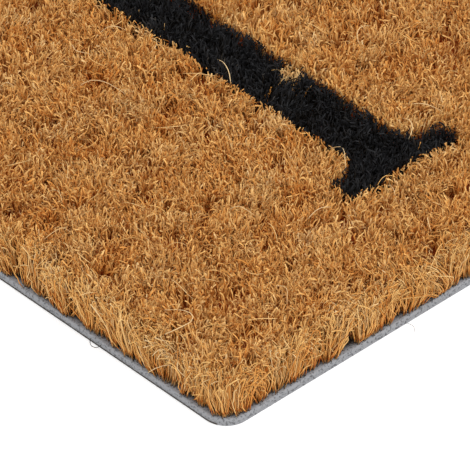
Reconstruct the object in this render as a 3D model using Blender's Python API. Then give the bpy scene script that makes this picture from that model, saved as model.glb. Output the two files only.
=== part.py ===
"""Coir door mat: a vinyl backing sheet, the coir pile that stands in it, and the dyed zones of the pile.

Metres, +Z up. X runs along the long side and Y along the short side. The origin is the centre of the
underside. The dyed zones are a portico: four columns, a lintel and a pitched roof, cut apart by the
bridges of a stencil.
"""

import math

import bpy
from mathutils import Vector

# Mat
LENGTH = 0.600
WIDTH = 0.400
TOTAL_HEIGHT = 0.017
BACKING_THICKNESS = 0.0025
CORNER_RADIUS = 0.008
CORNER_STEPS = 8
PILE_INSET = 0.001  # ledge of bare backing around the pile
GAP = 0.0003  # between neighbouring solids

# Dyed portico
MOTIF_MARGIN = 0.0385  # from the motif to the mat's long edges
COLUMN_COUNT = 4
COLUMN_SPAN = 0.381  # between the first and the last column's axes
BAND_WIDTH = 0.0185  # of a shaft, the lintel and the roof
FOOT_WIDTH = 0.044
FOOT_EDGE_HEIGHT = 0.0085
FOOT_CURVE_TOP = 0.014  # where the foot's curved shoulder meets the shaft
FOOT_CURVE_STEPS = 6
STENCIL_BRIDGE = 0.006
ROOF_RISE = 0.085

# Derived places
PILE_BOTTOM = BACKING_THICKNESS + GAP
MOTIF_HALF_WIDTH = (COLUMN_SPAN + FOOT_WIDTH) / 2
MOTIF_BOTTOM = MOTIF_MARGIN - WIDTH / 2
MOTIF_TOP = WIDTH / 2 - MOTIF_MARGIN
EAVES = MOTIF_TOP - ROOF_RISE
LINTEL_TOP = EAVES - STENCIL_BRIDGE
LINTEL_BOTTOM = LINTEL_TOP - BAND_WIDTH
COLUMN_TOP = LINTEL_BOTTOM - STENCIL_BRIDGE

# Base colour and roughness of each material
VINYL_GREY = ((0.42, 0.42, 0.41, 1.0), 0.7)
COIR_TAN = ((0.52, 0.30, 0.13, 1.0), 0.8)
DYED_BLACK = ((0.02, 0.022, 0.026, 1.0), 0.85)


def clear_scene():
    for old in list(bpy.data.objects):
        bpy.data.objects.remove(old)


def new_collection(name):
    collection = bpy.data.collections.new(name)
    bpy.context.scene.collection.children.link(collection)
    return collection


def new_material(name, base_color, roughness):
    material = bpy.data.materials.new(name)
    material.use_nodes = True
    shader = material.node_tree.nodes["Principled BSDF"]
    shader.inputs["Base Color"].default_value = base_color
    shader.inputs["Roughness"].default_value = roughness
    material.diffuse_color = base_color
    return material


def rounded_rectangle(half_x, half_y, radius):
    """Anticlockwise outline of a rectangle whose four corners are arcs."""
    outline = []
    for corner, (sign_x, sign_y) in enumerate(((1, 1), (-1, 1), (-1, -1), (1, -1))):
        centre = Vector((sign_x * (half_x - radius), sign_y * (half_y - radius)))
        for step in range(CORNER_STEPS + 1):
            angle = (corner + step / CORNER_STEPS) * math.pi / 2
            outline.append(centre + radius * Vector((math.cos(angle), math.sin(angle))))
    return outline


def column_outline(axis_x):
    """Anticlockwise outline of a straight shaft on a foot with concave shoulders."""
    half_foot = FOOT_WIDTH / 2
    half_shaft = BAND_WIDTH / 2
    right = [(half_foot, 0.0)]
    for step in range(FOOT_CURVE_STEPS + 1):
        angle = (1 - step / FOOT_CURVE_STEPS) * math.pi / 2
        across = half_foot - (half_foot - half_shaft) * math.cos(angle)
        up = FOOT_CURVE_TOP - (FOOT_CURVE_TOP - FOOT_EDGE_HEIGHT) * math.sin(angle)
        right.append((across, up))
    right.append((half_shaft, COLUMN_TOP - MOTIF_BOTTOM))
    left = [(-across, up) for across, up in reversed(right)]
    return [Vector((axis_x + across, MOTIF_BOTTOM + up)) for across, up in right + left]


def lintel_outline():
    corners = ((-1, LINTEL_BOTTOM), (1, LINTEL_BOTTOM), (1, LINTEL_TOP), (-1, LINTEL_TOP))
    return [Vector((side * MOTIF_HALF_WIDTH, y)) for side, y in corners]


def roof_outline():
    """Anticlockwise outline of a chevron whose two eaves are cut level."""
    slope = math.atan2(ROOF_RISE, MOTIF_HALF_WIDTH)
    eave_width = BAND_WIDTH / math.sin(slope)
    inner_apex = MOTIF_TOP - BAND_WIDTH / math.cos(slope)
    return [
        Vector((MOTIF_HALF_WIDTH, EAVES)),
        Vector((0.0, MOTIF_TOP)),
        Vector((-MOTIF_HALF_WIDTH, EAVES)),
        Vector((eave_width - MOTIF_HALF_WIDTH, EAVES)),
        Vector((0.0, inner_apex)),
        Vector((MOTIF_HALF_WIDTH - eave_width, EAVES)),
    ]


def grown(outline, distance):
    """The anticlockwise outline moved outwards by the distance, with mitred corners."""
    moved = []
    for index, corner in enumerate(outline):
        arriving = (corner - outline[index - 1]).normalized()
        leaving = (outline[(index + 1) % len(outline)] - corner).normalized()
        normals = Vector((arriving.y + leaving.y, -arriving.x - leaving.x))
        moved.append(corner + normals * distance / (1 + arriving.dot(leaving)))
    return moved


def slab(name, outlines, bottom, top, material, collection):
    """A flat solid between two heights: the first outline is its edge and the others are holes."""
    curve = bpy.data.curves.new(name, "CURVE")
    curve.dimensions = "2D"
    curve.fill_mode = "BOTH"
    curve.extrude = (top - bottom) / 2
    for outline in outlines:
        spline = curve.splines.new("POLY")
        spline.points.add(len(outline) - 1)
        for point, corner in zip(spline.points, outline):
            point.co = (corner.x, corner.y, 0.0, 1.0)
        spline.use_cyclic_u = True
    curve.materials.append(material)
    piece = bpy.data.objects.new(name, curve)
    piece.location.z = (bottom + top) / 2
    collection.objects.link(piece)
    return piece


def dyed_outlines():
    """Each dyed zone's name and outline."""
    zones = {}
    for number in range(COLUMN_COUNT):
        axis_x = COLUMN_SPAN * (number / (COLUMN_COUNT - 1) - 0.5)
        zones[f"dyed_column_{number + 1}"] = column_outline(axis_x)
    zones["dyed_lintel"] = lintel_outline()
    zones["dyed_roof"] = roof_outline()
    return zones


def build_mat():
    mat = new_collection("door_mat")
    vinyl = new_material("vinyl", *VINYL_GREY)
    coir = new_material("coir", *COIR_TAN)
    dyed_coir = new_material("dyed_coir", *DYED_BLACK)

    backing = rounded_rectangle(LENGTH / 2, WIDTH / 2, CORNER_RADIUS)
    slab("backing", [backing], 0.0, BACKING_THICKNESS, vinyl, mat)

    zones = dyed_outlines()
    for name, outline in zones.items():
        slab(name, [outline], PILE_BOTTOM, TOTAL_HEIGHT, dyed_coir, mat)

    holes = [grown(outline, GAP) for outline in zones.values()]
    slab("coir_pile", [grown(backing, -PILE_INSET), *holes], PILE_BOTTOM, TOTAL_HEIGHT, coir, mat)


clear_scene()
build_mat()
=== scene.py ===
"""Looks for the coir door mat: every fibre of the pile, the vinyl backing, studio light and camera.

Metres, +Z up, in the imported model's frame: the mat lies on Z = 0, X runs along its long side and Y
along its short side.
"""

import math

import bpy
import numpy as np
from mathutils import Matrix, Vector


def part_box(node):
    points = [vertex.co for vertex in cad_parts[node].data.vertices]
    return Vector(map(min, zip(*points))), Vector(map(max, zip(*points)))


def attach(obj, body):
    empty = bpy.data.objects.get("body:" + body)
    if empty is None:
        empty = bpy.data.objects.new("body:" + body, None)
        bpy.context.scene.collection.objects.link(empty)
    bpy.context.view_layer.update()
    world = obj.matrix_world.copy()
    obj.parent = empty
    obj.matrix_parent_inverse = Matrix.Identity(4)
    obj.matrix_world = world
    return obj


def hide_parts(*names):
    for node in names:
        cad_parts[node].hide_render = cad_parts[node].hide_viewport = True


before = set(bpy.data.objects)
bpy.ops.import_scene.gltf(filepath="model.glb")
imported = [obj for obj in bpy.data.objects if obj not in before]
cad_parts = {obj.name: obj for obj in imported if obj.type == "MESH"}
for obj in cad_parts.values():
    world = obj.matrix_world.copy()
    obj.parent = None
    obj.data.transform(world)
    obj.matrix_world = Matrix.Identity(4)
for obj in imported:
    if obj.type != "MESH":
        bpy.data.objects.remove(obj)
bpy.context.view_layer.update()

# Sizes taken from the frame
HALF_X, HALF_Y, BACKING_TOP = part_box("backing")[1]
PILE_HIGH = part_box("coir_pile")[1].z
HALF = np.array([HALF_X, HALF_Y])
CORNER_RADIUS = 0.008
FRONT_LEFT = np.array([-HALF_X, -HALF_Y])

# Tufts: bunches of fibres that share a hole in the backing
TUFT_SPACING = 0.0064
TUFT_JITTER = 0.28  # of the spacing
EDGE_ROW_INSETS = (0.0028, 0.0072)
EDGE_TUFT_SPACING = 0.0064
EDGE_TUFT_SCATTER = 0.0005
EDGE_STRETCH = (0.85, 1.4)  # of an edge tuft along the edge
EDGE_FOOT = 0.25  # how much more its root is stretched than its tips
EDGE_FADE = 0.008  # how far inside the outer row the tufts stop being edge tufts
FIELD_INSET = 0.0102
FIBRES_PER_AREA = 2.3e6  # per square metre
EDGE_TUFT_FIBRES = 82
ROOT_SPREAD = 0.0022
TIP_SPREAD = 0.0043

# How tufts differ: leans are slopes, and shades run from 0, dark, to 1, pale
LEAN = 0.09
SIDE_LEAN = 0.24  # along the edge, at the edge
OUT_LEAN = (-0.12, 0.20)  # over the edge, at the edge
WAVE_LEAN = 0.03
LEAN_WAVELENGTH = 0.040
BOW = 0.0009
OUT_BOW = (-0.0002, 0.0010)
TUFT_SPREADS = (0.75, 1.2)  # of the tip spread
TUFT_FULLNESS = (0.7, 1.3)
TUFT_RISE = 0.0003
WAVE_RISE = 0.0002
RISE_WAVELENGTH = 0.025
TUFT_SHADE = 0.05
SHADE_WAVES = ((0.07, 0.020), (0.06, 0.011))  # strength, wavelength

# Fibres
FIBRE_RADIUS = 0.00017
RIBBON_WIDENING = 1.27  # a ribbon shows its edge as often as its face
ROOT_MARGIN = 0.0009  # about how near the backing's edge a fibre may be rooted
OVERHANG = 0.0036  # most that a tip may stand out past the backing's edge
TIP_RISE = 0.0015  # of the longest tips over the pile's own height
HOOKED = 0.6  # of the fibres, whose ends bend over
HOOK_REACH = 0.0013
HOOK_START = 0.78  # of the way up
HOOK_BEND = 1.5  # power of the rest of the way
HOOK_DROP = 0.5  # of its reach
ROOT_SINK = 0.0003  # how deep the fibres go into the backing
ROOT_SCATTER = 0.0005
TIP_SCATTER = 0.0014
LENGTH_SCATTER = 0.0005
SHORT_FIBRES = 0.2  # of all, which are up to this much shorter
SHORTENING = 0.005
EDGE_SHORTENING = 0.004
LEAST_STAND = 0.5  # of its length, the least that a leaning fibre stands high
KNEE = (0.35, 0.35, 0.62)  # where a fibre bends, as shares of the way to its tip in X, Y and Z
KNEE_SCATTER = 0.0010
CURL = 0.00036
CURL_TURNS = (1.5, 4.5)
EDGE_WILDNESS = 0.7  # how much more the fibres at the edge differ
RADIUS_SCATTER = 0.18
ROOT_THICKNESS = 1.08  # of the radius
TAPER = 0.28  # of the radius, lost up to the tip
SHADE_SCATTER = 0.11

# Fibres nearer the edge than this are seen down to their roots
FULL_LENGTH_DEPTH = 0.0050
HALF_LENGTH_DEPTH = 0.0110
CLOSE_REACH = 0.175  # from the front left corner, where the camera comes close
REACH_SCATTER = 0.02  # so that no line shows where the detail changes

# How far in from the edge a fibre is rooted, the places along it that are drawn, and its sides
CLOSE_DETAIL = (
    (FULL_LENGTH_DEPTH, (0.0, 0.09, 0.20, 0.35, 0.50, 0.65, 0.78, 0.87, 0.94, 1.0), 3),
    (HALF_LENGTH_DEPTH, (0.20, 0.42, 0.60, 0.74, 0.83, 0.92, 1.0), 2),
    (math.inf, (0.58, 0.73, 0.83, 0.92, 1.0), 2),
)
FAR_DETAIL = (
    (FULL_LENGTH_DEPTH, (0.0, 0.20, 0.50, 0.80, 1.0), 3),
    (HALF_LENGTH_DEPTH, (0.20, 0.50, 0.80, 1.0), 2),
    (math.inf, (0.62, 0.84, 1.0), 2),
)

# Near the edge light reaches further down: places along a fibre, and the places up the map whose
# painted shade it takes there
EDGE_LIGHT = ((0.0, 0.09, 0.20, 1.0), (0.0, 0.16, 0.84, 0.98))

# The undyed pile is cut into these tiles
TILE_COLUMNS, TILE_ROWS = 9, 6

# Loose fibres that lie in arcs on the pile
LOOSE_FIBRES = 700
LOOSE_LENGTHS = (0.005, 0.014)
LOOSE_RADIUS = 0.00012
LOOSE_THICKNESS = (0.7, 1.2)  # of that radius
LOOSE_STEPS = 9
LOOSE_TURN = 1.8  # radians from end to end
LOOSE_RISES = (-0.0006, 0.0004)  # over the tips
LOOSE_ARCH = 0.0016
LOOSE_SAG = 0.8  # of the arch, how far its ends lie under the tips
LOOSE_SHADES = (0.4, 1.0)
LONG_LOOSE_RISE = 0.0006
LONG_LOOSE_SHADE = 0.95
# Those that stand out most: millimetres from the front left corner, along the long side and back
LONG_LOOSE_FIBRES = (
    ((65.3, 133.2), (68.3, 131.7), (70.3, 128.2), (71.3, 124.2), (72.3, 120.2)),
    ((10.5, 37.0), (13.2, 33.1), (13.9, 29.0), (11.8, 26.5), (7.9, 27.1), (3.2, 28.7)),
    ((104.3, 114.2), (103.3, 110.7), (101.3, 106.2), (99.3, 103.2)),
    ((56.3, 58.2), (58.3, 55.7), (59.8, 50.7)),
    ((41.3, 23.2), (41.8, 18.7), (38.3, 14.7)),
    ((98.3, 59.2), (99.8, 55.2), (95.3, 49.2)),
    ((77.3, 150.2), (74.8, 145.2), (78.3, 142.2)),
    ((47.3, 149.2), (50.3, 146.2)),
)

# Dark hairs caught in the cut edge: radius, how high they lie, and their places as above
STRAY_HAIRS = (
    (0.00012, 0.0010, ((0.6, 57.6), (-1.1, 56.2), (-2.0, 54.4), (-1.2, 52.9), (0.5, 53.0))),
    (0.00006, 0.0004, ((71.0, 1.3), (72.5, -0.2), (73.0, -2.0), (72.4, -3.4), (71.2, -4.9))),
)
HAIR_SHADE = 0.9

# How far the dye spreads past its zones, and the share of a diagonal step that goes along X or Y
DYE_BLEED = 0.0011
DIAGONAL = 0.7

# A small tuft that the dye missed, placed the same way, and its radius
MISSED_TUFT = (116.0, 95.2)
MISSED_RADIUS = 0.0031
MISSED_SHADE = 0.75
MISSED_SHARE = 0.0015  # of all fibres, which the dye missed one by one

# Core: the mass of fibre bodies that the tips stand in, coloured dark as painted shade deep in the
# pile
CORE_TOP = 0.0112
CORE_LUMP = 0.0005
CORE_LUMP_SIZES = (0.009, 0.006)
CORE_SINK = 0.0004  # how deep it goes into the backing
CORE_INSET = 0.0048
CORE_SHOULDER = 0.0062
CORE_LEVEL = 0.0090  # how far in it reaches its full height
CORE_CLIMB = (0.0, 0.6, 1.0)  # shares of its height at those three
CORE_SIDE_STEPS = (0.0, 0.0004, 0.0012, 0.0026)
CORE_CELL = 0.0025
# painted shade: the core takes the darkest tone and the shaded part of the fibre map
CORE_SHADE = 0.08
CORE_MAP = (0.06, 0.38)  # where it starts up the fibre map, and its share of it

# Backing
CUT_STEP = 0.0005  # between points round the cut edge
CUT_ROUGHNESS = 0.00008
CUT_ROWS = 8  # that the edge takes in the map
ROW_PITCH = 0.0090
UNDERSIDE_MAP = (0.35, 0.65)  # where it starts up the map, and its share of it
LEDGE_MAP = (0.30, 0.04)
SHADOWED_FOOT_HEIGHT = 0.0005  # of the painted shadow along the foot of the left-hand side, which faces away from the key light
# marks dust from the pile on the ledge, and painted shadow along the left-hand foot
SOIL_AND_SHADOW = "soil_and_shadow"

# From the underside up round the cut edge to the ledge: how far in, how high and how soiled
CUT_PROFILE = (
    (0.0014, 0.0, 0.0),
    (0.0002, 0.0, 0.0),
    (0.0000, 0.0002, 0.0),
    (0.0000, 0.0004, 0.0),
    (0.0003, 0.0006, 0.0),
    (0.0002, 0.0010, 0.0),
    (0.0001, 0.0015, 0.0),
    (0.0002, 0.0020, 0.0),
    (0.0003, 0.0023, 0.0),
    (0.0006, 0.0025, 0.0),
    (0.0018, 0.0025, 0.2),
    (0.0028, 0.0025, 0.6),
    (0.0042, 0.0025, 1.0),
)

# The fibre material reads a map of this name. On a fibre, its left half holds the dyed shades and its
# right half the undyed ones, both darkest at the middle, and up it runs the place along the fibre.
FIBRE_MAP = "OFBake"
MAP_MARGIN = 0.004  # kept free round the map
MAP_WIDTH = 0.012  # that a fibre covers across the map, since a bake misses a face with no area there
LOOSE_MAP = (0.96, 1.0)  # the clean end of the map, along which a loose fibre lies
SHADE_REACH = 0.48  # from the middle of the map to the palest shade

# Camera
VIEW_AZIMUTH = math.radians(-43.3)
VIEW_ELEVATION = math.radians(38.3)
LENS = 500.0  # millimetres, on a 36 mm sensor
VIEW_DISTANCE = 1.909
VIEW_CENTRE = Vector((-HALF_X + 0.0501, -HALF_Y + 0.0491, PILE_HIGH))

# Light and floor
HORIZON_LIGHT = 1.0
ZENITH_LIGHT = 1.80
KEY_PLACE = (0.5, -1.5, 1.6)
KEY_TARGET = (-0.2, -0.1, 0.0)
KEY_SIZE = 0.8
KEY_POWER = 13.0
FLOOR_SIZE = 40.0
FLOOR_GREY = 0.62
FLOOR_GLOW = 0.5
FLOOR_GAP = 0.0002  # under the mat

SEED = 20


def srgb(red, green, blue):
    """Linear colour of an 8-bit sRGB one."""
    levels = [value / 255 for value in (red, green, blue)]
    return (*[v / 12.92 if v <= 0.04045 else ((v + 0.055) / 1.055) ** 2.4 for v in levels], 1.0)


# Colour of a fibre across its map, as it would look in full light
FIBRE_SHADES = (
    (0.00, srgb(82, 76, 68)),
    (0.15, srgb(38, 38, 40)),
    (0.49, srgb(21, 21, 23)),
    (0.51, srgb(160, 84, 22)),
    (0.62, srgb(204, 141, 68)),
    (0.75, srgb(215, 169, 102)),
    (0.87, srgb(213, 176, 120)),
    (1.00, srgb(218, 190, 146)),
)
# Painted shade up the fibre, for the shade deep in the pile: a darkened grey foot that also stands for
# dust, a deep brown shaded body and an unshaded end
FIBRE_DUST_AND_SHADE = (
    (0.25, (0.50, 0.40, 0.28, 1.0)),
    (0.45, (0.56, 0.25, 0.05, 1.0)),
    (0.80, (0.96, 0.79, 0.58, 1.0)),
    (0.95, (1.0, 1.0, 1.0, 1.0)),
)
ROOT_COLOR = srgb(84, 79, 76)
VINYL_GREY = srgb(136, 137, 140)
VINYL_SPECK = srgb(88, 89, 92)
# colour of the dust and of the painted shadow on the vinyl
VINYL_SOIL_AND_SHADOW = srgb(50, 44, 38)
BLACK = (0.0, 0.0, 0.0, 1.0)
WHITE = (1.0, 1.0, 1.0, 1.0)
ROOT_DUST = ((0.03, BLACK), (0.15, WHITE))  # black where up the fibre it covers
GRAINS = ((0.36, VINYL_SPECK), (0.47, VINYL_GREY))
GRAINS_PER_METRE = 1500.0
SOIL_AND_SHADOW_COVER = ((0.34, BLACK), (0.58, WHITE))

# ---------------------------------------------------------------- materials


def new_material(name, roughness, specular=0.3):
    material = bpy.data.materials.new(name)
    material.use_nodes = True
    shader = material.node_tree.nodes["Principled BSDF"]
    shader.inputs["Roughness"].default_value = roughness
    shader.inputs["Specular IOR Level"].default_value = specular
    return material, material.node_tree, shader


def add_ramp(tree, stops):
    ramp = tree.nodes.new("ShaderNodeValToRGB")
    elements = ramp.color_ramp.elements
    while len(elements) < len(stops):
        elements.new(0.5)
    for element, (position, color) in zip(elements, stops):
        element.position = position
        element.color = color
    return ramp


def mix_colors(tree, blend, factor, first, second):
    """A mix whose inputs are each an output of another node or a value."""
    mix = tree.nodes.new("ShaderNodeMix")
    mix.data_type = "RGBA"
    mix.blend_type = blend
    for name, value in (("Factor", factor), ("A", first), ("B", second)):
        socket = next(s for s in mix.inputs if s.name == name and s.enabled)
        if isinstance(value, bpy.types.NodeSocket):
            tree.links.new(value, socket)
        else:
            socket.default_value = value
    return next(s for s in mix.outputs if s.enabled)


def add_math(tree, operation, first, second):
    """The result of a sum on another node's output, and a second output or a value."""
    node = tree.nodes.new("ShaderNodeMath")
    node.operation = operation
    tree.links.new(first, node.inputs[0])
    if isinstance(second, bpy.types.NodeSocket):
        tree.links.new(second, node.inputs[1])
    else:
        node.inputs[1].default_value = second
    return node.outputs["Value"]


def link_factor(tree, output, node):
    tree.links.new(output, node.inputs["Fac" if "Fac" in node.inputs else "Factor"])


def fibre_material(name):
    """Colour by each fibre's own shade, darkened down the fibre as painted shade, fading to a dusty
    dark grey at its root.
    """
    material, tree, shader = new_material(name, roughness=0.7, specular=0.15)
    fibre_map = tree.nodes.new("ShaderNodeUVMap")
    fibre_map.uv_map = FIBRE_MAP
    split = tree.nodes.new("ShaderNodeSeparateXYZ")
    tree.links.new(fibre_map.outputs["UV"], split.inputs["Vector"])
    shade = add_ramp(tree, FIBRE_SHADES)
    link_factor(tree, split.outputs["X"], shade)
    # painted shade: the colour grows darker and browner further down the fibre, as the pile shades it
    painted_depth_shade = add_ramp(tree, FIBRE_DUST_AND_SHADE)
    link_factor(tree, split.outputs["Y"], painted_depth_shade)
    clean = mix_colors(tree, "MULTIPLY", 1.0, shade.outputs["Color"], painted_depth_shade.outputs["Color"])
    dust = add_ramp(tree, ROOT_DUST)
    link_factor(tree, split.outputs["Y"], dust)
    color = mix_colors(tree, "MIX", dust.outputs["Color"], ROOT_COLOR, clean)
    tree.links.new(color, shader.inputs["Base Color"])
    return material


def vinyl_material():
    """Grey foamed vinyl with darker grains, under dust from the pile and, along the left-hand foot,
    painted shadow, where its attribute says.
    """
    material, tree, shader = new_material("vinyl", roughness=0.75)
    grain = tree.nodes.new("ShaderNodeTexNoise")
    grain.inputs["Scale"].default_value = GRAINS_PER_METRE
    grain.inputs["Detail"].default_value = 2.0
    tree.links.new(tree.nodes.new("ShaderNodeTexCoord").outputs["Object"], grain.inputs["Vector"])
    noise = grain.outputs["Fac" if "Fac" in grain.outputs else "Factor"]
    specks = add_ramp(tree, GRAINS)
    link_factor(tree, noise, specks)
    soil_and_shadow = tree.nodes.new("ShaderNodeAttribute")
    soil_and_shadow.attribute_name = SOIL_AND_SHADOW
    level = add_math(tree, "ADD", soil_and_shadow.outputs["Fac"], noise)
    half = add_math(tree, "MULTIPLY", level, 0.5)
    cover = add_ramp(tree, SOIL_AND_SHADOW_COVER)
    link_factor(tree, half, cover)
    color = mix_colors(tree, "MIX", cover.outputs["Color"], specks.outputs["Color"], VINYL_SOIL_AND_SHADOW)
    tree.links.new(color, shader.inputs["Base Color"])
    return material


# ---------------------------------------------------------------- geometry helpers


def new_piece(name, points, triangles, material, smooth=True):
    """A mesh object of the triangles."""
    mesh = bpy.data.meshes.new(name)
    mesh.vertices.add(len(points))
    mesh.vertices.foreach_set("co", np.ascontiguousarray(points, np.float32).ravel())
    mesh.loops.add(triangles.size)
    mesh.loops.foreach_set("vertex_index", np.ascontiguousarray(triangles, np.int32).ravel())
    mesh.polygons.add(len(triangles))
    mesh.polygons.foreach_set("loop_start", np.arange(0, triangles.size, 3, dtype=np.int32))
    mesh.polygons.foreach_set("use_smooth", np.full(len(triangles), smooth))
    mesh.materials.append(material)
    mesh.update(calc_edges=True)
    piece = bpy.data.objects.new(name, mesh)
    bpy.context.scene.collection.objects.link(piece)
    return piece


def edge_distance(points):
    """How far inside the mat's outline each point is, and the outward direction there."""
    past = np.abs(points) - (HALF - CORNER_RADIUS)
    beyond = np.maximum(past, 0.0)
    reach = np.linalg.norm(beyond, axis=1)
    distance = CORNER_RADIUS - reach - np.minimum(past.max(axis=1), 0.0)
    across = np.where(past[:, :1] > past[:, 1:], (1.0, 0.0), (0.0, 1.0))
    outward = np.where(reach[:, None] > 0, beyond / np.maximum(reach, 1e-9)[:, None], across)
    return distance, outward * np.where(points < 0, -1.0, 1.0)


def outline(inset, steps=12):
    """The mat's outline moved inwards, anticlockwise from the right-hand end of the front edge."""
    radius = max(CORNER_RADIUS - inset, 0.0005)
    corner = HALF - inset - radius
    turns = []
    for quarter, signs in enumerate(((1, 1), (-1, 1), (-1, -1), (1, -1))):
        angles = (quarter + np.linspace(0, 1, steps)) * math.pi / 2
        turns.append(corner * signs + radius * np.column_stack([np.cos(angles), np.sin(angles)]))
    return np.concatenate(turns)


def along(path, spacing, rng=None, jitter=0.0):
    """Points about a spacing apart along a closed path, and the path's length."""
    closed = np.vstack([path, path[:1]])
    reach = np.concatenate([[0.0], np.cumsum(np.linalg.norm(np.diff(closed, axis=0), axis=1))])
    count = int(reach[-1] / spacing)
    offsets = rng.uniform(-jitter, jitter, count) if rng else 0.0
    at = (np.arange(count) + offsets) * reach[-1] / count % reach[-1]
    return np.column_stack([np.interp(at, reach, closed[:, axis]) for axis in (0, 1)]), reach[-1]


def waves(points, wavelength, rng, count=9):
    """A smooth random field over the mat, about -1 to 1, whose lumps are a wavelength across."""
    angles = rng.uniform(0, 2 * math.pi, count)
    lengths = wavelength * rng.uniform(0.7, 1.6, count)
    phases = rng.uniform(0, 2 * math.pi, count)
    directions = np.column_stack([np.cos(angles), np.sin(angles)]) * (2 * math.pi / lengths)[:, None]
    return np.sin(points @ directions.T + phases).sum(axis=1) / math.sqrt(count)


def strand_mesh(centres, radii, shades, heights, sides):
    """Strands with blunt ends: three-sided tubes, or flat ribbons if sides is 2.

    centres is (strands, rings, 3), and radii, shades and heights are (strands, rings).
    """
    count, rings, _ = centres.shape
    forward = np.gradient(centres, axis=1)
    spin = np.random.default_rng(count).uniform(0, 2 * math.pi, count)
    reference = np.column_stack([np.cos(spin), np.sin(spin), np.full(count, 0.05)])[:, None, :]
    side = np.cross(forward, reference)
    side /= np.linalg.norm(side, axis=2, keepdims=True) + 1e-12
    other = np.cross(forward, side)
    other /= np.linalg.norm(other, axis=2, keepdims=True) + 1e-12
    angles = np.arange(sides) * 2 * math.pi / sides
    around = (
        side[:, :, None, :] * np.cos(angles)[:, None] + other[:, :, None, :] * np.sin(angles)[:, None]
    )
    points = centres[:, :, None, :] + around * radii[:, :, None, None]

    faces = []
    for ring in range(rings - 1):
        low, high = sides * ring, sides * ring + sides
        for corner in range(sides if sides > 2 else 1):
            after = (corner + 1) % sides
            faces.append((low + corner, low + after, high + after))
            faces.append((low + corner, high + after, high + corner))
    if sides == 3:
        last = sides * (rings - 1)
        faces += [(0, 2, 1), (last, last + 1, last + 2)]
    offsets = np.arange(count)[:, None, None] * (sides * rings)
    triangles = (np.array(faces)[None] + offsets).reshape(-1, 3)
    uvs = np.repeat(np.stack([shades, heights], axis=-1)[:, :, None], sides, axis=2)
    uvs[..., 0] += MAP_WIDTH * np.linspace(-0.5, 0.5, sides)
    return points.reshape(-1, 3), triangles, uvs.reshape(-1, 2)


def join_meshes(meshes):
    """One mesh of several (points, triangles, uvs)."""
    starts = np.cumsum([0] + [len(points) for points, _, _ in meshes[:-1]])
    return (
        np.concatenate([points for points, _, _ in meshes]),
        np.concatenate([triangles + start for (_, triangles, _), start in zip(meshes, starts)]),
        np.concatenate([uvs for _, _, uvs in meshes]),
    )


def fibre_piece(name, meshes, material):
    points, triangles, uvs = join_meshes(meshes)
    piece = new_piece(name, points, triangles, material)
    fibre_map = piece.data.uv_layers.new(name=FIBRE_MAP)
    corners = np.clip(uvs[triangles.ravel()], MAP_MARGIN, 1 - MAP_MARGIN)
    fibre_map.uv.foreach_set("vector", corners.astype(np.float32).ravel())
    return piece


# ---------------------------------------------------------------- the pile


def in_zone(points, node):
    """Which points, seen from above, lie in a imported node."""
    low, high = (np.array(corner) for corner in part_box(node))
    found = np.zeros(len(points), bool)
    near = np.flatnonzero((points > low[:2]).all(axis=1) & (points < high[:2]).all(axis=1))
    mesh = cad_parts[node].data
    mesh.calc_loop_triangles()
    corners = np.array([vertex.co for vertex in mesh.vertices])
    for triangle in mesh.loop_triangles:
        a, b, c = corners[list(triangle.vertices)]
        if min(a[2], b[2], c[2]) < high[2] - 1e-5:
            continue
        sides = [
            (end[0] - start[0]) * (points[near, 1] - start[1])
            - (end[1] - start[1]) * (points[near, 0] - start[0])
            for start, end in ((a, b), (b, c), (c, a))
        ]
        found[near] |= (np.min(sides, axis=0) >= 0) | (np.max(sides, axis=0) <= 0)
    return found


def map_across(shades, dyed):
    """The place across the fibre map of each shade, where 0 is the darkest."""
    return 0.5 + np.where(dyed, -SHADE_REACH, SHADE_REACH) * shades


def in_dye(points):
    """Which points, seen from above, lie in any dyed zone."""
    zones = [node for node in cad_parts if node.startswith("dyed")]
    corners = np.array([(1, 1), (1, -1), (-1, 1), (-1, -1)])
    spread = DYE_BLEED * (DIAGONAL * corners)
    return np.any([in_zone(points + step, node) for node in zones for step in spread], axis=0)


def tuft_centres(rng):
    """Rows of tufts that follow the edge, and a jittered hexagonal field inside them."""
    rows = (along(outline(inset), EDGE_TUFT_SPACING, rng, TUFT_JITTER) for inset in EDGE_ROW_INSETS)
    edge = np.vstack([row for row, _ in rows])
    edge += rng.normal(0, EDGE_TUFT_SCATTER, edge.shape)
    row_step = TUFT_SPACING * math.sqrt(3) / 2
    column, row = np.meshgrid(
        np.arange(int(2 * HALF_X / TUFT_SPACING) + 2), np.arange(int(2 * HALF_Y / row_step) + 2)
    )
    field = np.column_stack([
        ((column + 0.5 * (row % 2)) * TUFT_SPACING - HALF_X).ravel(),
        (row * row_step - HALF_Y).ravel(),
    ])
    field += rng.uniform(-TUFT_JITTER, TUFT_JITTER, field.shape) * TUFT_SPACING
    return edge, field[edge_distance(field)[0] > FIELD_INSET]


def tuft_traits(centres, at_edge, rng):
    """How each tuft leans, bows, spreads and rises, and how pale it is."""
    count = len(centres)
    outward = edge_distance(centres)[1]
    sideways = outward[:, ::-1] * (-1, 1)
    lean = rng.normal(0, LEAN, (count, 2))
    lean += sideways * at_edge * rng.normal(0, SIDE_LEAN, (count, 1))
    swells = [waves(centres, LEAN_WAVELENGTH, rng) for _ in range(2)]
    lean += WAVE_LEAN * np.column_stack(swells)
    lean += outward * at_edge * rng.uniform(*OUT_LEAN, (count, 1))
    bow = rng.normal(0, BOW, (count, 2)) * (1 + at_edge)
    bow += outward * at_edge * rng.uniform(*OUT_BOW, (count, 1))
    spread = TIP_SPREAD * rng.uniform(*TUFT_SPREADS, count)
    rise = rng.normal(0, TUFT_RISE, count) + WAVE_RISE * waves(centres, RISE_WAVELENGTH, rng)
    shade = 0.5 + TUFT_SHADE * rng.normal(0, 1, count)
    shade += sum(strength * waves(centres, length, rng) for strength, length in SHADE_WAVES)
    return sideways, lean, bow, spread, rise, shade


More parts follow.
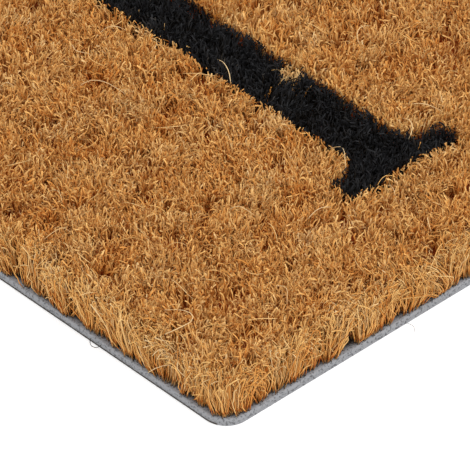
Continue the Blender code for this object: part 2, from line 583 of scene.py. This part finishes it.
def hold_at_edge(roots, shift, rng):
    """Roots moved in to the backing's margin, and tips moved in until few stand out past its edge."""
    depth, outward = edge_distance(roots)
    margin = ROOT_MARGIN * rng.uniform(0.5, 1.5, len(roots))
    roots = roots - outward * np.maximum(margin - depth, 0)[:, None]
    depth, outward = edge_distance(roots + shift)
    farthest = OVERHANG * rng.uniform(-1, 1, len(roots))
    return roots, shift - outward * np.maximum(-farthest - depth, 0)[:, None]


def grow_pile():
    """Roots, tips, bend, radius and shade of every fibre."""
    rng = np.random.default_rng(SEED)
    edge, field = tuft_centres(rng)
    centres = np.vstack([edge, field])
    count = len(centres)
    cell = TUFT_SPACING**2 * math.sqrt(3) / 2
    fullness = np.full(count, FIBRES_PER_AREA * cell)
    fullness[: len(edge)] = EDGE_TUFT_FIBRES
    inset = edge_distance(centres)[0] - EDGE_ROW_INSETS[0]
    at_edge = np.clip(1 - inset / EDGE_FADE, 0, 1)[:, None]
    sideways, lean, bow, spread, rise, shade = tuft_traits(centres, at_edge, rng)

    of = np.repeat(np.arange(count), rng.poisson(fullness * rng.uniform(*TUFT_FULLNESS, count)))
    total = len(of)
    angle = rng.uniform(0, 2 * math.pi, total)
    turned = np.column_stack([np.cos(angle), np.sin(angle)])
    away = np.sqrt(rng.uniform(0, 1, total))[:, None] * turned
    stretch = (away * sideways[of]).sum(axis=1, keepdims=True) * sideways[of] * at_edge[of]
    away += stretch * (rng.uniform(*EDGE_STRETCH, (count, 1))[of] - 1)
    foot = ROOT_SPREAD * EDGE_FOOT * stretch
    roots = centres[of] + ROOT_SPREAD * away + foot + rng.normal(0, ROOT_SCATTER, (total, 2))
    length = PILE_HIGH + TIP_RISE - BACKING_TOP + rise[of] + rng.normal(0, LENGTH_SCATTER, total)
    length -= np.where(rng.random(total) < SHORT_FIBRES, rng.uniform(0, SHORTENING, total), 0)
    length -= EDGE_SHORTENING * rng.uniform(0, 1, total) ** 2 * at_edge[of, 0]
    shift = (spread[of] - ROOT_SPREAD)[:, None] * away - foot
    wild = 1 + EDGE_WILDNESS * at_edge[of]
    shift += lean[of] * length[:, None] + rng.normal(0, TIP_SCATTER, (total, 2)) * wild
    roots, shift = hold_at_edge(roots, shift, rng)
    least = (LEAST_STAND * length) ** 2
    height = np.sqrt(np.maximum(length**2 - (shift**2).sum(axis=1), least))

    return {
        "root": np.column_stack([roots, np.full(total, BACKING_TOP - ROOT_SINK)]),
        "tip": np.column_stack([roots + shift, BACKING_TOP + height]),
        "knee": bow[of] + rng.normal(0, KNEE_SCATTER, (total, 2)) * wild,
        "hook": rng.normal(0, HOOK_REACH, (total, 2)) * (rng.random((total, 1)) < HOOKED),
        "curl": rng.normal(0, CURL, (total, 2)) * wild,
        "turns": rng.uniform(*CURL_TURNS, (total, 2)) / wild,
        "start": rng.uniform(0, 1, (total, 2)),
        "radius": FIBRE_RADIUS * np.exp(rng.normal(0, RADIUS_SCATTER, total)),
        "shade": np.clip(shade[of] + rng.normal(0, SHADE_SCATTER, total) * wild[:, 0], 0, 1),
        "depth": edge_distance(roots)[0],
        "at_edge": at_edge[of],
        "reach": np.linalg.norm(roots - FRONT_LEFT, axis=1)
        + rng.uniform(-REACH_SCATTER, REACH_SCATTER, total),
    }


def fibre_paths(pile, chosen, places):
    """Points at the given places along the chosen fibres, where 0 is the root and 1 the tip."""
    t = np.asarray(places)[None, :, None]
    root, tip = pile["root"][chosen], pile["tip"][chosen]
    knee = root + (tip - root) * KNEE
    knee[:, :2] += pile["knee"][chosen]
    path = root[:, None] * (1 - t) ** 2 + 2 * knee[:, None] * t * (1 - t) + tip[:, None] * t**2
    turn = pile["turns"][chosen][:, None] * t + pile["start"][chosen][:, None]
    path[:, :, :2] += pile["curl"][chosen][:, None] * np.sin(2 * math.pi * turn) * t
    bent = np.clip((t - HOOK_START) / (1 - HOOK_START), 0, 1) ** HOOK_BEND
    hook = pile["hook"][chosen]
    path[:, :, :2] += hook[:, None] * bent
    path[:, :, 2] -= HOOK_DROP * np.linalg.norm(hook, axis=1)[:, None] * bent[:, :, 0] ** 2
    return path


def fibre_strands(pile, chosen, places, sides):
    """Strands along the chosen fibres, dyed where they stand in a dyed zone."""
    places = np.asarray(places)
    paths = fibre_paths(pile, chosen, places)
    dyed = in_dye(paths[:, :, :2].reshape(-1, 2)).reshape(paths.shape[:2])
    dyed &= ~pile["missed"][chosen, None]
    shades = map_across(pile["shade"][chosen, None], dyed)
    radii = pile["radius"][chosen][:, None] * (ROOT_THICKNESS - TAPER * places)
    if sides == 2:
        radii = radii * RIBBON_WIDENING
    lit = np.interp(places, *EDGE_LIGHT)
    heights = places + (lit - places) * pile["at_edge"][chosen]
    return strand_mesh(paths, radii, shades, heights, sides)


def pile_meshes(pile, chosen):
    """Strands of the chosen fibres: the nearer to the edge, the more of their length is drawn."""
    meshes = []
    close = pile["reach"][chosen] < CLOSE_REACH
    depth = pile["depth"][chosen]
    for detail, in_reach in ((CLOSE_DETAIL, close), (FAR_DETAIL, ~close)):
        nearest = 0.0
        for farthest, places, sides in detail:
            group = chosen[in_reach & (depth >= nearest) & (depth < farthest)]
            if len(group):
                meshes.append(fibre_strands(pile, group, places, sides))
            nearest = farthest
    return meshes


def core_lines(half):
    """Grid lines across the core, close together where its side rises."""
    inner = half - CORE_LEVEL
    cells = round(2 * inner / CORE_CELL)
    outer = half - (CORE_INSET + np.array(CORE_SIDE_STEPS))
    return np.concatenate([-outer, np.linspace(-inner, inner, cells + 1), outer[::-1]])


def build_core(coir, dyed_coir):
    """A lumpy mass that hides the backing between the tips, dark as painted shade deep in the pile,
    cut along the dyed zones.
    """
    rng = np.random.default_rng(SEED + 2)
    x, y = np.meshgrid(core_lines(HALF_X), core_lines(HALF_Y))
    places = np.column_stack([x.ravel(), y.ravel()])
    depth = edge_distance(places)[0]
    climb = np.interp(depth, (CORE_INSET, CORE_SHOULDER, CORE_LEVEL), CORE_CLIMB)
    lumps = CORE_LUMP * sum(waves(places, size, rng) for size in CORE_LUMP_SIZES)
    height = BACKING_TOP - CORE_SINK + climb * (CORE_TOP - BACKING_TOP + lumps)
    points = np.column_stack([places, height])
    shades = np.full(len(places), CORE_SHADE)
    up = CORE_MAP[0] + CORE_MAP[1] * climb
    uvs = np.column_stack([map_across(shades, in_dye(places)), up])
    row, column = np.indices(x.shape)
    uvs += MAP_WIDTH * (np.column_stack([column.ravel(), row.ravel()]) % 2 - 0.5)

    columns = x.shape[1]
    start = (np.arange(x.shape[0] - 1)[:, None] * columns + np.arange(columns - 1)).ravel()
    corners = start[:, None] + (0, 1, columns + 1, columns)
    middles = places[corners].mean(axis=1)
    free = np.ones(len(corners), bool)
    parts = []
    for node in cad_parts:
        if node.startswith("dyed"):
            inside = in_zone(middles, node) & free
            free &= ~inside
            parts.append((f"{node}_core", node, inside, dyed_coir, "dyed_coir"))
    parts.append(("coir_core", "coir_pile", free, coir, "coir"))
    pieces = []
    for name, node, chosen, material, slot in parts:
        quads = corners[chosen]
        used, local = np.unique(quads, return_inverse=True)
        quads = local.reshape(quads.shape)
        triangles = np.vstack([quads[:, (0, 1, 2)], quads[:, (0, 2, 3)]])
        piece = fibre_piece(name, [(points[used], triangles, uvs[used])], material)
        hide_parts(node)
        pieces.append(piece)
    return pieces


def build_pile(coir, dyed_coir):
    """The undyed pile in tiles, and each dyed zone in pieces no longer than a tile."""
    pile = grow_pile()
    rng = np.random.default_rng(SEED + 1)
    missed = FRONT_LEFT + 0.001 * np.array(MISSED_TUFT)
    tips = fibre_paths(pile, np.arange(len(pile["tip"])), (1.0,))[:, 0, :2]
    pile["missed"] = np.linalg.norm(tips - missed, axis=1) < MISSED_RADIUS
    pile["shade"][pile["missed"]] = MISSED_SHADE
    pile["missed"] |= rng.random(len(tips)) < MISSED_SHARE
    tile = np.clip((tips + HALF) / (2 * HALF), 0, 0.9999) * (TILE_COLUMNS, TILE_ROWS)
    tile = tile.astype(int)
    free = np.ones(len(tips), bool)
    pieces = []
    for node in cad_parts:
        if not node.startswith("dyed"):
            continue
        inside = in_zone(tips, node) & free & ~pile["missed"]
        free &= ~inside
        for column in range(TILE_COLUMNS):
            chosen = np.flatnonzero(inside & (tile[:, 0] == column))
            if len(chosen):
                name = f"{node}_pile_{column + 1}"
                piece = fibre_piece(name, pile_meshes(pile, chosen), dyed_coir)
                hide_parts(node)
                pieces.append(piece)
    for column in range(TILE_COLUMNS):
        for row in range(TILE_ROWS):
            chosen = np.flatnonzero(free & (tile == (column, row)).all(axis=1))
            if len(chosen):
                name = f"coir_pile_{column + 1}_{row + 1}"
                piece = fibre_piece(name, pile_meshes(pile, chosen), coir)
                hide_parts("coir_pile")
                pieces.append(piece)
    return pieces


def curve_through(points, count):
    """Places along a smooth curve through the points."""
    points = np.asarray(points, float)
    padded = np.vstack([2 * points[0] - points[1], points, 2 * points[-1] - points[-2]])
    at = np.linspace(0, len(points) - 1, count)
    span = np.minimum(at.astype(int), len(points) - 2)
    t = (at - span)[:, None]
    before, start, end, after = (padded[span + step] for step in range(4))
    return 0.5 * (
        2 * start
        + (end - before) * t
        + (2 * before - 5 * start + 4 * end - after) * t**2
        + (3 * start - before - 3 * end + after) * t**3
    )


def loose_paths(rng):
    """Arcs of loose fibre over the whole pile, and the long ones."""
    length = rng.uniform(*LOOSE_LENGTHS, LOOSE_FIBRES)
    heading = rng.uniform(0, 2 * math.pi, LOOSE_FIBRES)
    turn = rng.normal(0, LOOSE_TURN, LOOSE_FIBRES)
    t = np.linspace(0, 1, LOOSE_STEPS)
    angles = heading[:, None] + turn[:, None] * t
    steps = np.stack([np.cos(angles), np.sin(angles)], axis=-1) * (length / LOOSE_STEPS)[:, None, None]
    room = HALF - LOOSE_LENGTHS[1] / 2
    middle = rng.uniform(-room, room, (LOOSE_FIBRES, 2))
    paths = np.cumsum(steps, axis=1)
    paths += (middle - paths.mean(axis=1))[:, None]
    paths = paths[~in_dye(middle)]
    long = [
        FRONT_LEFT + 0.001 * curve_through(points, LOOSE_STEPS) for points in LONG_LOOSE_FIBRES
    ]
    return np.concatenate([paths, np.array(long)])


def build_loose_fibres(coir):
    rng = np.random.default_rng(SEED + 4)
    paths = loose_paths(rng)
    count, longest = len(paths), -len(LONG_LOOSE_FIBRES)
    rise = rng.uniform(*LOOSE_RISES, count)
    rise[longest:] = LONG_LOOSE_RISE
    arch = LOOSE_ARCH * (np.sin(np.linspace(0, math.pi, LOOSE_STEPS)) - LOOSE_SAG)
    height = PILE_HIGH + TIP_RISE + rise[:, None] + arch
    centres = np.dstack([paths, height])
    radii = np.full((count, LOOSE_STEPS), LOOSE_RADIUS) * rng.uniform(*LOOSE_THICKNESS, (count, 1))
    shades = rng.uniform(*LOOSE_SHADES, count)
    shades[longest:] = LONG_LOOSE_SHADE
    across = np.repeat(map_across(shades, False)[:, None], LOOSE_STEPS, axis=1)
    up = np.linspace(*LOOSE_MAP, LOOSE_STEPS)[None]
    meshes = [strand_mesh(centres, radii, across, np.repeat(up, count, axis=0), 3)]
    for radius, low, points in STRAY_HAIRS:
        path = FRONT_LEFT + 0.001 * curve_through(points, LOOSE_STEPS)
        hair = np.column_stack([path, np.full(LOOSE_STEPS, low)])[None]
        across = np.full((1, LOOSE_STEPS), map_across(HAIR_SHADE, True))
        thickness = np.full((1, LOOSE_STEPS), radius)
        meshes.append(strand_mesh(hair, thickness, across, up, 3))
    piece = fibre_piece("loose_fibres", meshes, coir)
    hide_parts("coir_pile")
    return piece


# ---------------------------------------------------------------- the backing


def backing_points(path):
    """Rings of the cut profile round the path and the two middles, and how soiled each point is, with
    painted shadow along the left-hand foot.
    """
    rng = np.random.default_rng(SEED + 3)
    count = len(path)
    inward = -edge_distance(path * 0.99999)[1]
    insets, heights, soils = np.array(CUT_PROFILE).T
    rough = np.abs(rng.normal(0, CUT_ROUGHNESS, (len(insets), count)))
    rough[(heights <= 0) | (heights >= BACKING_TOP)] = 0.0
    rings = path + inward * (insets[:, None] + rough)[:, :, None]
    lifts = np.broadcast_to(heights[:, None, None], (len(heights), count, 1))
    points = np.vstack([np.dstack([rings, lifts]).reshape(-1, 3), (0, 0, 0), (0, 0, BACKING_TOP)])
    soil_and_shadow = np.append(np.repeat(soils, count), (0.0, 1.0))
    # painted shadow: the foot of the left-hand side, turned away from the key light, is darkened like
    # a contact shadow
    soil_and_shadow[(points[:, 0] < 0.001 - HALF_X) & (points[:, 2] < SHADOWED_FOOT_HEIGHT)] = 1.0
    return points, soil_and_shadow


def backing_triangles(count):
    """Those of the cut edge, and those of the underside and the top."""
    turn = np.arange(count)
    rows = np.arange(len(CUT_PROFILE) - 1)[:, None] * count
    low = (rows + turn).ravel()
    low_after = (rows + (turn + 1) % count).ravel()
    edge = np.vstack([
        np.column_stack([low, low_after, low_after + count]),
        np.column_stack([low, low_after + count, low + count]),
    ])
    top = count * (len(CUT_PROFILE) - 1)
    under_middle = count * len(CUT_PROFILE)
    under = np.column_stack([(turn + 1) % count, turn, np.full(count, under_middle)])
    over = np.column_stack([top + turn, top + (turn + 1) % count, np.full(count, under_middle + 1)])
    return edge, np.vstack([under, over])


def backing_uvs(points, edge, flat, count, girth):
    """The cut edge lies in rows along the foot of the map, and the flat faces fill the rest."""
    insets, heights, _ = np.array(CUT_PROFILE).T
    across = np.concatenate([[0.0], np.cumsum(np.hypot(np.diff(insets), np.diff(heights)))])
    first = np.tile(np.arange(count), 2 * (len(CUT_PROFILE) - 1))
    row = (first * CUT_ROWS) // count
    step = (edge % count - first[:, None]) % count
    edge_map = np.stack([
        (first[:, None] + step) * CUT_ROWS / count - row[:, None],
        (row[:, None] * ROW_PITCH + across[edge // count]) / (girth / CUT_ROWS),
    ], axis=-1)
    flat_map = (points[flat][:, :, :2] + HALF) / (2 * HALF)
    for faces, (start, share) in ((flat_map[:count], UNDERSIDE_MAP), (flat_map[count:], LEDGE_MAP)):
        faces[:, :, 1] = start + share * faces[:, :, 1]
    return 0.01 + 0.98 * np.concatenate([edge_map, flat_map])


def build_backing(material):
    """The vinyl sheet, with a roughly cut edge."""
    path, girth = along(outline(0.0), CUT_STEP)
    points, soil_and_shadow = backing_points(path)
    edge, flat = backing_triangles(len(path))
    piece = new_piece("backing_sheet", points, np.vstack([edge, flat]), material)
    soil_and_shadow_of_points = piece.data.attributes.new(SOIL_AND_SHADOW, "FLOAT", "POINT")
    soil_and_shadow_of_points.data.foreach_set("value", soil_and_shadow.astype(np.float32))
    uvs = backing_uvs(points, edge, flat, len(path), girth)
    backing_map = piece.data.uv_layers.new(name=FIBRE_MAP)
    backing_map.uv.foreach_set("vector", uvs.astype(np.float32).ravel())
    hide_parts("backing")
    return piece


# ---------------------------------------------------------------- camera, light and floor


def add_camera():
    data = bpy.data.cameras.new("camera")
    data.lens = LENS
    data.clip_end = 100.0
    camera = bpy.data.objects.new("camera", data)
    back = Vector((
        math.sin(VIEW_AZIMUTH) * math.cos(VIEW_ELEVATION),
        -math.cos(VIEW_AZIMUTH) * math.cos(VIEW_ELEVATION),
        math.sin(VIEW_ELEVATION),
    ))
    camera.location = VIEW_CENTRE + back * VIEW_DISTANCE
    camera.rotation_euler = (-back).to_track_quat("-Z", "Y").to_euler()
    bpy.context.scene.collection.objects.link(camera)
    bpy.context.scene.camera = camera


def add_key_light():
    """A large soft lamp in front."""
    data = bpy.data.lights.new("key", "AREA")
    data.shape = "DISK"
    data.size = KEY_SIZE
    data.energy = KEY_POWER
    light = bpy.data.objects.new("key", data)
    light.location = KEY_PLACE
    aim = Vector(KEY_TARGET) - Vector(KEY_PLACE)
    light.rotation_euler = aim.to_track_quat("-Z", "Y").to_euler()
    bpy.context.scene.collection.objects.link(light)


def add_world():
    """White all round, and brighter overhead."""
    world = bpy.data.worlds.new("studio")
    world.use_nodes = True
    tree = world.node_tree
    background = tree.nodes["Background"]
    background.inputs["Color"].default_value = WHITE
    split = tree.nodes.new("ShaderNodeSeparateXYZ")
    tree.links.new(tree.nodes.new("ShaderNodeTexCoord").outputs["Generated"], split.inputs["Vector"])
    brightness = tree.nodes.new("ShaderNodeMapRange")
    brightness.inputs["To Min"].default_value = HORIZON_LIGHT
    brightness.inputs["To Max"].default_value = ZENITH_LIGHT
    tree.links.new(split.outputs["Z"], brightness.inputs["Value"])
    tree.links.new(brightness.outputs["Result"], background.inputs["Strength"])
    bpy.context.scene.world = world


def add_floor():
    """A white floor that runs into the white behind it."""
    material, _, shader = new_material("floor", roughness=0.9, specular=0.0)
    shader.inputs["Base Color"].default_value = (FLOOR_GREY, FLOOR_GREY, FLOOR_GREY, 1.0)
    shader.inputs["Emission Color"].default_value = WHITE
    shader.inputs["Emission Strength"].default_value = FLOOR_GLOW
    bpy.ops.mesh.primitive_plane_add(size=FLOOR_SIZE, location=(0.0, 0.0, -FLOOR_GAP))
    floor = bpy.context.object
    floor.name = "floor"
    floor.data.materials.append(material)


# ---------------------------------------------------------------- build

add_camera()
bpy.context.scene.view_settings.view_transform = "Standard"
add_world()
add_key_light()
add_floor()
coir = fibre_material("coir")
dyed_coir = fibre_material("dyed_coir")
pieces = [build_backing(vinyl_material()), build_loose_fibres(coir)]
pieces += build_core(coir, dyed_coir) + build_pile(coir, dyed_coir)
for piece in pieces:
    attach(piece, "root")
